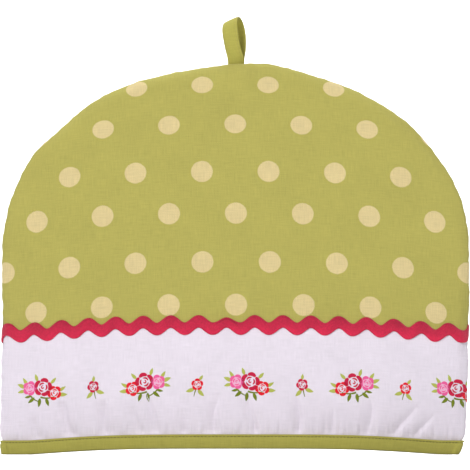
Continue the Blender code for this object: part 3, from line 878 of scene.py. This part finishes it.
def stitch_piece(name, stitches, materials):
    points, faces = [], []
    for stitch in stitches:
        first = len(points) * STITCH_RINGS * STITCH_SIDES
        last = first + (STITCH_RINGS - 1) * STITCH_SIDES
        faces += grid_faces(STITCH_RINGS, STITCH_SIDES, first=first, close_rows=True).tolist()
        faces.append(list(range(first, first + STITCH_SIDES)))
        faces.append(list(range(last, last + STITCH_SIDES))[::-1])
        points.append(capsule(*stitch))
    piece = make_piece(name, np.concatenate(points), faces, materials)


def along_line(points, outs, pitch, radius):
    """Stitches of a pitch along a line of points, with a short space between them."""
    lengths = run_lengths(points)

    def at(length, values):
        return np.array([np.interp(length, lengths, values[:, k]) for k in range(3)])

    count = math.ceil((lengths[-1] - 0.7 * pitch) / pitch - STITCH_START)
    starts = pitch * (STITCH_START + np.arange(count))
    length = pitch * (STITCH_END - STITCH_START)
    return [(at(s, points), at(s + length, points), at(s, outs), radius) for s in starts]


def hem_stitches(materials):
    row, found = HEM_STITCH, []
    across, turn = [a[row["ends_off"]:-row["ends_off"]] for a in spaced_station(BINDING_STEPS)]
    for side in (FRONT, BACK):
        surface, above = [
            skin(across, turn, row["height"], side, out)
            for out in (row["share"] * (GAP + BINDING_CLOTH), 3.0)
        ]
        found += along_line(surface, above - surface, row["pitch"], row["radius"])
    stitch_piece("hem_stitches", found, materials)


def loop_stitches(materials):
    row, found = LOOP_STITCH, []
    rise = LOOP_STRAP_CLOTH / 2 - row["sunk"]
    for across in (-row["row"], row["row"]):
        line, outs = [], []
        for s in np.linspace(row["from"], 1 - row["from"], LOOP_STITCH_STEPS):
            middle, width, normal = loop_frame(s)
            out = normal * loop_outward()
            line.append(middle + width * across * LOOP_STRAP_WIDTH / 2 + out * rise)
            outs.append(out)
        found += along_line(np.array(line), np.array(outs), row["pitch"], row["radius"])
    stitch_piece("loop_stitches", found, materials)


# Print: plain roses and leaves, drawn as strokes of changing width


def on_border(x, z, side, out):
    """(points, turn) above the border at a place of its cloth, which goes round the side edges."""
    sign = side_of(x)
    edge = side_x(sign, z)
    flat = np.abs(edge) - roll(0.0, wall(edge, z, side))[0]
    turn = np.clip((np.abs(x) - flat) / ROLL_LENGTH, 0, 1)
    across = np.where(turn > 0, sign, x / flat)
    return skin(across, turn, z, side, out + edge_relief(turn, z, side)), turn


class Ink:
    """Collects the strokes of one colour on both sides of the cosy."""

    def __init__(self):
        self.points, self.faces, self.cloth, self.first = [], [], [], 0

    def stroke(self, line, widths, side, lift):
        """line is points (x, z) on the border; widths are across it."""
        direction = unit(np.gradient(line, axis=0))
        across = stacked(-direction[:, 1], direction[:, 0])
        widths = np.asarray(widths)[:, None]
        shares = np.linspace(-0.5, 0.5, max(4, int(widths.max() / INK_GRID) + 2))
        flat = line[:, None] + across[:, None] * (widths * shares)[..., None]
        x, z = flat[..., 0], flat[..., 1]
        points, turn = on_border(x, z, side, lift)
        quads = grid_faces(len(line), len(shares), first=self.first)
        seen = turn.ravel()[quads - self.first].max(axis=1) < INK_LAST_TURN
        if not seen.any():
            return
        self.points.append(points.reshape(-1, 3))
        self.cloth.append(stacked(x, z, 0.0).reshape(-1, 3))
        self.faces.append(quads[seen])
        self.first += turn.size

    def piece(self, name, material):
        points, cloth = np.concatenate(self.points), np.concatenate(self.cloth)
        used, faces = np.unique(np.concatenate(self.faces), return_inverse=True)
        faces = faces.reshape(-1, 4).tolist()
        piece = make_piece(name, points[used], faces, [material], cloth=cloth[used], closed=False)


def arc(centre, radius, first, last, bulge=0.0, steps=12):
    """A bow of a circle round the centre, between two angles, that bulges in its middle."""
    t = np.linspace(0, 1, steps)
    angle = np.radians(first + (last - first) * t)
    r = radius * (1 + bulge * np.sin(np.pi * t))
    return stacked(centre[0] + r * np.cos(angle), centre[1] + r * np.sin(angle))


def tapered(width, steps, power=0.6, low=0.08):
    t = np.linspace(0, 1, steps)
    return width * np.maximum(np.sin(np.pi * t), 0) ** power * (1 - low) + width * low


class Motif:
    """A place on the border where shapes are drawn in their own turned coordinates."""

    def __init__(self, inks, x, z, degrees, side, mirrored=False):
        self.inks, self.side = inks, side
        self.origin = np.array([x, z])
        turn = math.radians(degrees)
        self.axes = np.array([[math.cos(turn), math.sin(turn)], [-math.sin(turn), math.cos(turn)]])
        if mirrored:
            self.axes[0] *= -1

    def stroke(self, ink, line, widths, kind):
        line = self.origin + line @ self.axes
        self.inks[ink].stroke(line, widths, self.side, INK_LIFTS[kind])

    def rose(self, centre, radius, petals, heart, turn):
        """Five round petals, then three thinner ones, then a curl in the middle."""
        for k in range(5):
            middle = turn + 72 * k
            petal = arc(centre, radius * 0.76, middle - 34, middle + 34, 0.14, 14)
            self.stroke(petals, petal, tapered(radius * 0.46, 14, 0.5, 0.3), "petal")
        for k in range(3):
            middle = turn + 40 + 120 * k
            petal = arc(centre, radius * 0.44, middle - 50, middle + 44, 0.06, 12)
            self.stroke(petals, petal, tapered(radius * 0.2, 12), "inner")
        curl = arc((0, 0), radius * 0.20, turn, turn + 290, 0.0, 16)
        curl = np.asarray(centre) + curl * np.linspace(1.1, 0.35, 16)[:, None]
        self.stroke(heart, curl, tapered(radius * 0.15, 16, 0.5), "inner")

    def full_rose(self, centre, radius, ground, petals, turn):
        """The same with a paler disc under it."""
        t, r = np.linspace(-1, 1, 22), radius * 0.96
        disc = stacked(centre[0] + t * r, centre[1])
        self.stroke(ground, disc, 2 * r * np.sqrt(np.clip(1 - t**2, 0, 1)) + 0.02, "disc")
        self.rose(centre, radius, petals, petals, turn)

    def blade(self, ink, start, degrees, bend, widths, length, kind):
        """A stroke that starts at a place and curves as it goes."""
        t = np.linspace(0, 1, len(widths))
        angle = np.radians(degrees + bend * (t - 0.5))[:-1]
        step = length / (len(widths) - 1)
        steps = step * stacked(np.cos(angle), np.sin(angle))
        line = np.asarray(start) + np.concatenate([[(0, 0)], np.cumsum(steps, axis=0)])
        self.stroke(ink, line, widths, kind)

    def leaf(self, ink, start, degrees, length, width, bend=12):
        t = np.linspace(0, 1, 12)
        widths = width * np.sin(np.pi * t**0.8) ** 0.85 + 0.12
        self.blade(ink, start, degrees, bend, widths, length, "leaf")

    def stem(self, ink, start, degrees, length, width, bend):
        self.blade(ink, start, degrees, bend, width * np.linspace(1, 0.5, 14), length, "stem")


def garland(inks, x, z, degrees, side, mirrored):
    """A curved row of three roses, the middle one larger, with leaves at its ends and below."""
    m = Motif(inks, x, z, degrees, side, mirrored)
    m.stem("spray", (-9.0, -4.6), -24, 10.0, 1.3, 44)
    m.stem("spray", (0.0, -5.6), 14, 10.5, 1.3, 40)
    for ink, bend, leaves in (("spray", -14, GARLAND_SPRAY), ("leaf", 12, GARLAND_LEAVES)):
        for start, degrees_out, length, width in leaves:
            m.leaf(ink, start, degrees_out, length, width, bend)
    m.full_rose((-9.3, -0.9), 4.8, "blush", "pink", 15)
    m.rose((9.3, -0.9), 4.8, "scarlet", "scarlet", 58)
    m.rose((0.0, 1.6), 6.1, "crimson", "crimson", 90)


def sprig(inks, x, z, degrees, side, petals):
    """One small rose on a short stem between two leaves, with a bud's leaf above."""
    m = Motif(inks, x, z, degrees, side)
    m.stem("spray", (0.0, -3.2), 268, 5.6, 0.9, 16)
    m.leaf("leaf", (-1.4, -3.4), 212, 6.2, 2.6, -16)
    m.leaf("leaf", (1.4, -3.4), 328, 6.2, 2.6, 16)
    m.leaf("leaf", (0.6, 3.4), 68, 4.2, 1.9, 14)
    m.rose((0.0, 0.0), 3.9, petals, "crimson", 30)


def rose_print(materials):
    inks = {name: Ink() for name in INKS}
    for side in (FRONT, BACK):
        for k in range(-3, 4):
            x, height = PRINT_START + PRINT_REPEAT * k, PRINT_HEIGHT + GARLAND_UP
            tilt, petals = (PRINT_TILT, "scarlet") if k % 2 else (-PRINT_TILT, "crimson")
            garland(inks, -side * x, height, -side * tilt, side, bool(k % 2))
            sprig(inks, -side * (x + PRINT_REPEAT / 2), PRINT_HEIGHT, side * tilt, side, petals)
    for name, ink in inks.items():
        ink.piece(f"print_{name}", materials[name])


# Materials


class Nodes:
    """Short ways to add shader nodes."""

    def __init__(self, name):
        self.material = bpy.data.materials.new(name)
        self.material.use_nodes = True
        self.tree = self.material.node_tree
        self.shader = self.tree.nodes["Principled BSDF"]

    def add(self, kind, **settings):
        node = self.tree.nodes.new(kind)
        for key, value in settings.items():
            setattr(node, key, value)
        return node

    def feed(self, socket, value):
        """Sets the socket to a number or a colour, or links another node's output to it."""
        if isinstance(value, tuple):
            socket.default_value = (*value, 1.0)
        elif isinstance(value, (int, float)):
            socket.default_value = value
        else:
            self.tree.links.new(value, socket)

    def math(self, operation, *values):
        node = self.add("ShaderNodeMath", operation=operation)
        for socket, value in zip(node.inputs, values):
            self.feed(socket, value)
        return node.outputs[0]

    def plus(self, *terms):
        return functools.reduce(lambda a, b: self.math("ADD", a, b), terms)

    def times(self, *factors):
        return functools.reduce(lambda a, b: self.math("MULTIPLY", a, b), factors)

    def waves(self, value, pitch):
        return self.math("SINE", self.times(value, 2 * math.pi / pitch))

    def cloth_axes(self):
        """(place on the cloth, and its three parts)"""
        attribute = self.add("ShaderNodeAttribute", attribute_name="cloth")
        split = self.add("ShaderNodeSeparateXYZ")
        self.feed(split.inputs[0], attribute.outputs["Vector"])
        return attribute.outputs["Vector"], *split.outputs

    def noise(self, vector, scale, stretch=(1, 1, 1), detail=3.0):
        mapping = self.add("ShaderNodeMapping")
        mapping.inputs["Scale"].default_value = [scale * s for s in stretch]
        self.feed(mapping.inputs["Vector"], vector)
        texture = self.add("ShaderNodeTexNoise")
        texture.inputs["Scale"].default_value = 1.0
        texture.inputs["Detail"].default_value = detail
        self.feed(texture.inputs["Vector"], mapping.outputs[0])
        return texture.outputs["Fac"]

    def mix(self, factor, a, b, **settings):
        node = self.add("ShaderNodeMix", data_type="RGBA", **settings)
        for k, value in ((0, factor), (6, a), (7, b)):
            self.feed(node.inputs[k], value)
        return node.outputs[2]

    def bump(self, height, strength, depth):
        relief = self.add("ShaderNodeBump")
        relief.inputs["Strength"].default_value = strength
        relief.inputs["Distance"].default_value = depth * MM
        self.feed(relief.inputs["Height"], height)
        self.feed(self.shader.inputs["Normal"], relief.outputs[0])

    def finish(self, base, constants):
        self.feed(self.shader.inputs["Base Color"], base)
        for socket, value in constants.items():
            self.shader.inputs[socket].default_value = value
        return self.material


def shade(colour, factor):
    return tuple(min(channel * factor, 1.0) for channel in colour)


def spot_mask(n, u, v, streaks):
    """1 on the printed spots and 0 off them, with a slightly ragged edge."""
    mask = 0.0
    for firsts in SPOT_GRIDS:
        squares = []
        for axis, first, pitch in zip((u, v), firsts, (SPOT_PITCH, SPOT_ROW_PITCH)):
            place = n.plus(axis, SPOT_REPEATS_BEFORE * pitch - first)
            off = n.math("PINGPONG", place, pitch / 2)
            squares.append(n.times(off, off))
        distance = n.math("SQRT", n.plus(*squares))
        edge = n.plus(distance, n.times(streaks, SPOT_EDGE["ragged"]))
        inside = n.math("SUBTRACT", SPOT_RADIUS + SPOT_EDGE["out"], edge)
        spots = n.math("MINIMUM", n.times(inside, SPOT_EDGE["sharp"]), 1.0)
        mask = n.math("MAXIMUM", mask, spots)
    return mask


def cotton(name, colour, slub=0.07, diagonal=False, spots=False, bump=0.22):
    """Plain-weave cotton with slubs, slow mottling and, where asked, printed spots."""
    n = Nodes(name)
    vector, u, v, _ = n.cloth_axes()
    if diagonal:
        u, v = n.plus(u, v), n.math("SUBTRACT", u, v)
    threads = n.times(n.waves(u, 2 * THREAD_PITCH), n.waves(v, 2 * THREAD_PITCH))
    streaks = n.plus(*[n.noise(vector, 1.0, stretch, 2.0) for stretch in SLUB_STRETCHES], -1.0)
    mottle = n.plus(n.noise(vector, COTTON_MOTTLE["scale"]), -0.5)
    ground = n.mix(spot_mask(n, u, v, streaks), colour, CREAM) if spots else colour
    level = n.plus(
        n.times(streaks, slub * 4),
        n.times(mottle, COTTON_MOTTLE["share"]),
        n.times(threads, COTTON_THREADS_SHARE),
        1.0,
    )
    n.bump(n.plus(n.times(threads, 0.5), n.times(streaks, 0.9)), bump, 0.25)
    return n.finish(n.mix(1.0, ground, level, blend_type="MULTIPLY"), COTTON)


def braid_material(name, colour):
    """Plaited braid: fine threads that cross from each edge towards the middle."""
    n = Nodes(name)
    vector, u, v, painted_shade = n.cloth_axes()
    rising = n.plus(u, n.times(n.math("ABSOLUTE", v), PLAIT["slant"]))
    ends = n.plus(n.times(n.waves(v, PLAIT["ends"]), 0.4), 0.6)
    woven = n.times(n.waves(rising, PLAIT["threads"]), ends)
    fuzz = n.noise(vector, 0.9)
    mottle = n.noise(vector, 0.09, detail=2.0)
    # The tone holds painted shade besides the threads, fuzz and mottling: darker higher up the
    # braid and under the front crest's fold.
    tone = n.plus(
        n.times(woven, BRAID_TONE["threads"]),
        n.times(n.plus(fuzz, -0.5), BRAID_TONE["fuzz"]),
        n.times(n.plus(mottle, -0.5), BRAID_TONE["mottle"]),
        n.times(painted_shade, BRAID_TONE["height"]),
        BRAID_TONE["level"],
    )
    n.bump(n.plus(woven, n.times(fuzz, 0.6)), 0.5, 0.3)
    return n.finish(n.mix(tone, shade(colour, 0.6), shade(colour, 1.4)), BRAID)


def thread_material(name, colour):
    n = Nodes(name)
    coordinates = n.add("ShaderNodeTexCoord")
    fuzz = n.noise(coordinates.outputs["Object"], 2500.0, detail=2.0)
    return n.finish(n.mix(fuzz, shade(colour, 0.85), shade(colour, 1.12)), THREAD)


# Stage


def stage():
    """A floor that curves up behind the cosy into the backdrop."""
    reach, radius, bend = FLOOR["reach"], FLOOR["radius"], FLOOR["back"] - FLOOR["radius"]
    profile = [(FLOOR["front"], 0.0)]
    for angle in np.linspace(0, math.pi / 2, FLOOR_STEPS + 1):
        profile.append((bend + radius * math.sin(angle), radius * (1 - math.cos(angle))))
    profile.append((FLOOR["back"], FLOOR["height"]))
    bm = bmesh.new()
    rows = [[bm.verts.new((x, y, z)) for x in (-reach, reach)] for y, z in profile]
    for low, high in zip(rows, rows[1:]):
        bm.faces.new((low[0], low[1], high[1], high[0]))
    mesh = bpy.data.meshes.new("studio_floor")
    bm.to_mesh(mesh)
    bm.free()
    mesh.shade_smooth()
    mesh.materials.append(Nodes("studio_paper").finish((FLOOR["grey"],) * 3, PAPER))
    floor = add_object("studio_floor", mesh)


def look_at(made, place, aim):
    made.location = place
    made.rotation_euler = (Vector(aim) - Vector(place)).to_track_quat("-Z", "Y").to_euler()


def lights():
    world = bpy.data.worlds.new("studio_air")
    world.use_nodes = True
    air = world.node_tree.nodes["Background"]
    air.inputs[0].default_value = (1.0, 1.0, 1.0, 1)
    air.inputs[1].default_value = SKY
    bpy.context.scene.world = world
    bpy.context.scene.view_settings.view_transform = "Standard"
    for name, place, aim, size, watts, spread in LAMPS:
        light = bpy.data.lights.new(name, "AREA")
        light.shape = "RECTANGLE"
        light.size, light.size_y = size
        light.energy = watts
        light.spread = math.radians(spread)
        look_at(add_object(name, light), place, aim)


def camera():
    """The photograph's viewpoint: low and straight on, with the cosy filling the frame's width."""
    data = bpy.data.cameras.new("photo_view")
    place = Vector((CAMERA["x"], -CAMERA["distance"], CAMERA["eye"]))
    aim = Vector((CAMERA["x"], 0.0, CAMERA["aim_height"]))
    data.sensor_width = SENSOR_WIDTH
    data.lens = data.sensor_width * (aim - place).length / CAMERA["seen_width"]
    data.clip_start = 0.01
    view = add_object("photo_view", data)
    look_at(view, place, aim)
    bpy.context.scene.camera = view


def main():
    crown = cotton("crown_cotton", GREEN, spots=True)
    border = cotton("border_cotton", LILAC_WHITE, slub=0.05)
    trim = cotton("trim_cotton", TRIM_GREEN, diagonal=True, bump=0.3)
    strap = cotton("strap_cotton", shade(TRIM_GREEN, 1.1), bump=0.3)
    inside = cotton("inside_cotton", UNDYED, slub=0.05)
    red = braid_material("braid_red", CRIMSON_BRAID)
    for label, side in SIDES.items():
        crown_panel(label, side, [crown, inside])
        border_panel(label, side, [border, inside])
        braid(label, side, [red])
    binding([trim])
    hanging_loop([strap])
    hem_stitches([thread_material("hem_thread", shade(TRIM_GREEN, 0.36))])
    loop_stitches([thread_material("loop_thread", shade(TRIM_GREEN, 0.9))])
    inks = {name: cotton(f"ink_{name}", c, slub=0.04, bump=0.15) for name, c in INKS.items()}
    rose_print(inks)
    stage()
    lights()
    camera()


main()
bpy.context.view_layer.update()
